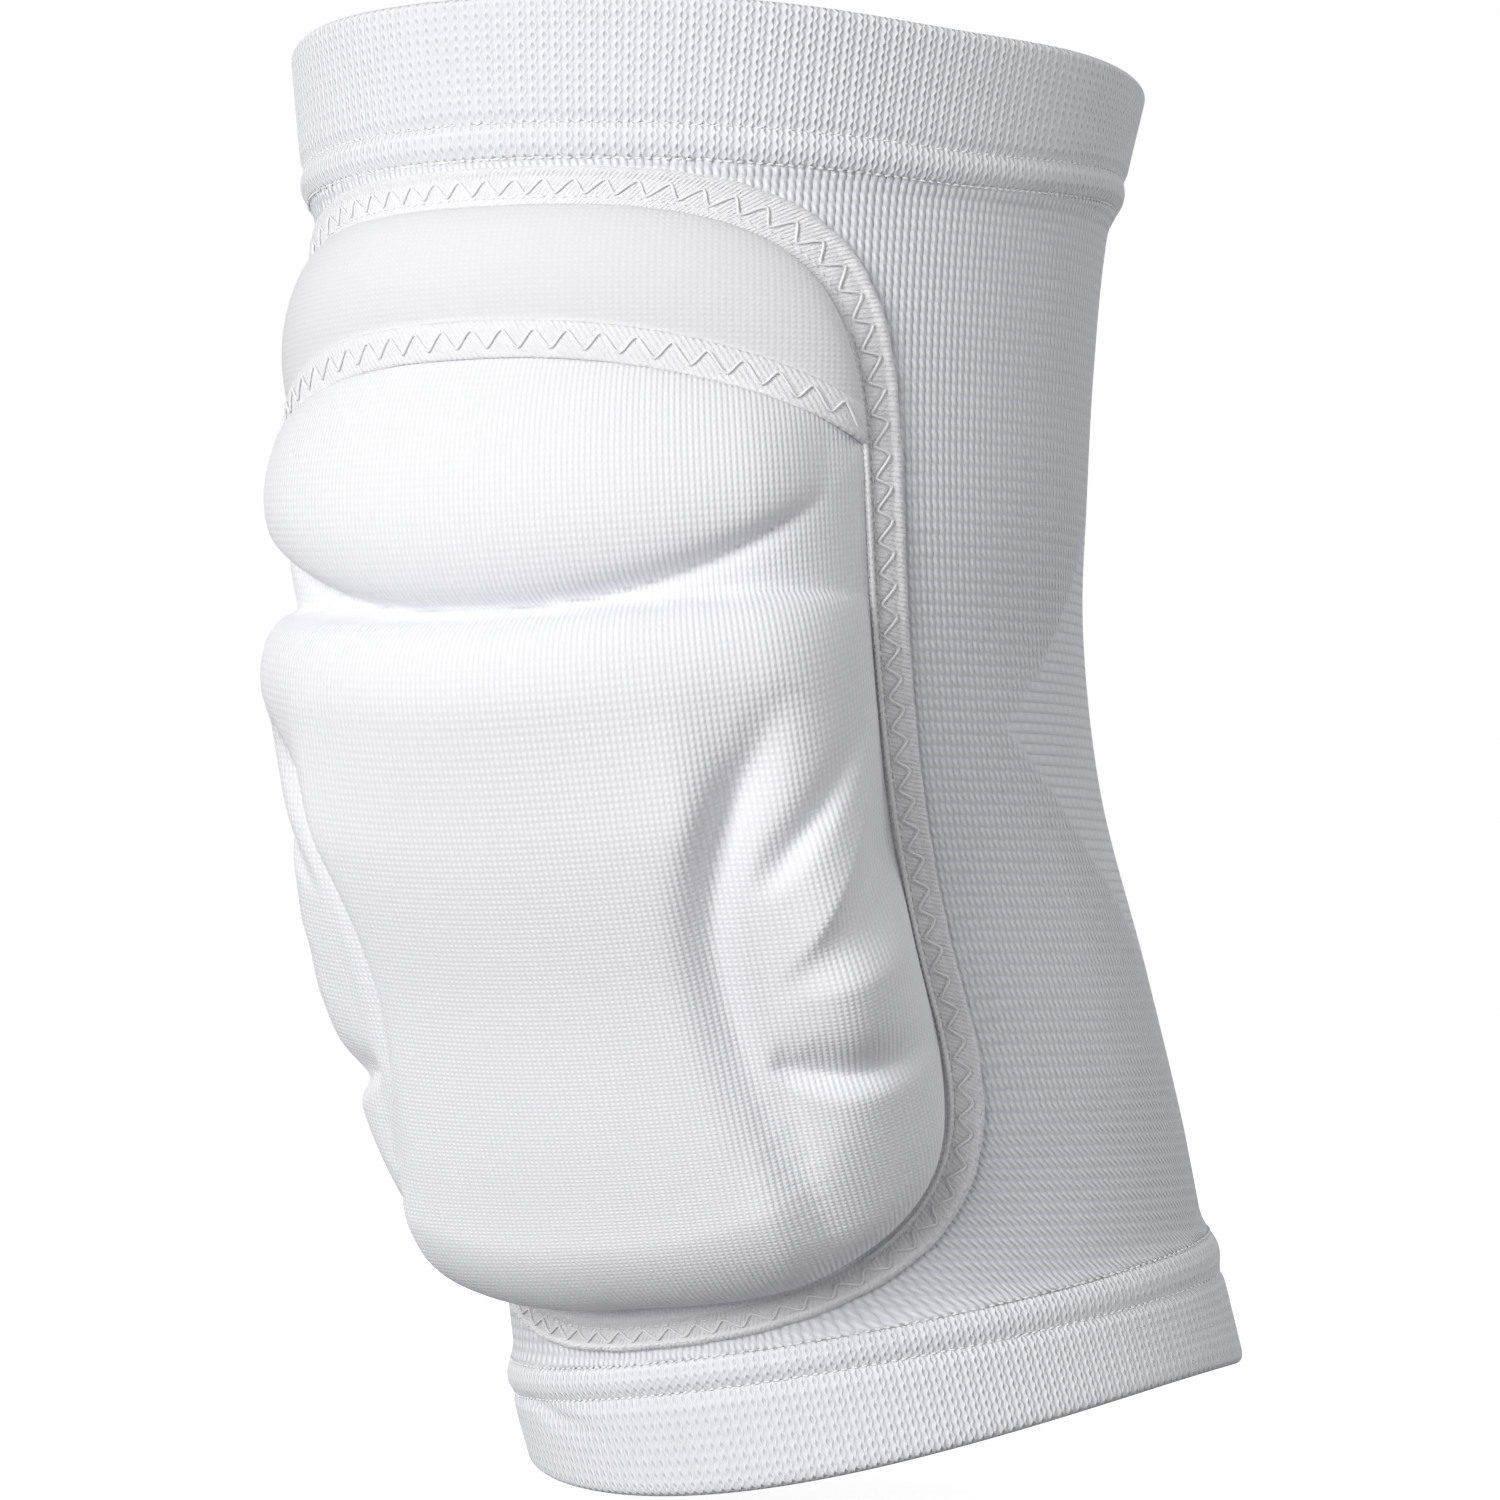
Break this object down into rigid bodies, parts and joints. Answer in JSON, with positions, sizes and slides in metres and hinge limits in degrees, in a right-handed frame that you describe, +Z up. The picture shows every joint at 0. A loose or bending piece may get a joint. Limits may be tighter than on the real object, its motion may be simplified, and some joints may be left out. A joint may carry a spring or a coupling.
{
  "type": "volleyball knee pad",
  "caption": "Knitted knee sleeve, open at both ends, with ribbed cuffs and a moulded foam pad taped on at the front.",
  "frame": {"origin": "centre of the knee, on the leg's axis inside the sleeve", "axes": "+Z up along the leg, -Y the way the pad faces, +X to the wearer's left side of the pad as worn"},
  "size_m": [0.1271, 0.1626, 0.2149],
  "materials": {
    "white_knit": "matte white elastic rib knit",
    "pad_cover": "matte white fine pique knit over foam",
    "smooth_panel": "smooth fine white tricot",
    "brushed_tape": "soft brushed white tape with zigzag stitching"
  },
  "bodies": {
    "root": {"sleeve": "white_knit", "top_cuff": "white_knit", "top_hem_roll": "white_knit", "bottom_hem_roll": "white_knit", "bottom_cuff": "white_knit", "foam_pad": "pad_cover", "upper_panel": "smooth_panel", "outer_binding": "brushed_tape", "cross_binding": "brushed_tape"}
  },
  "joints": []
}
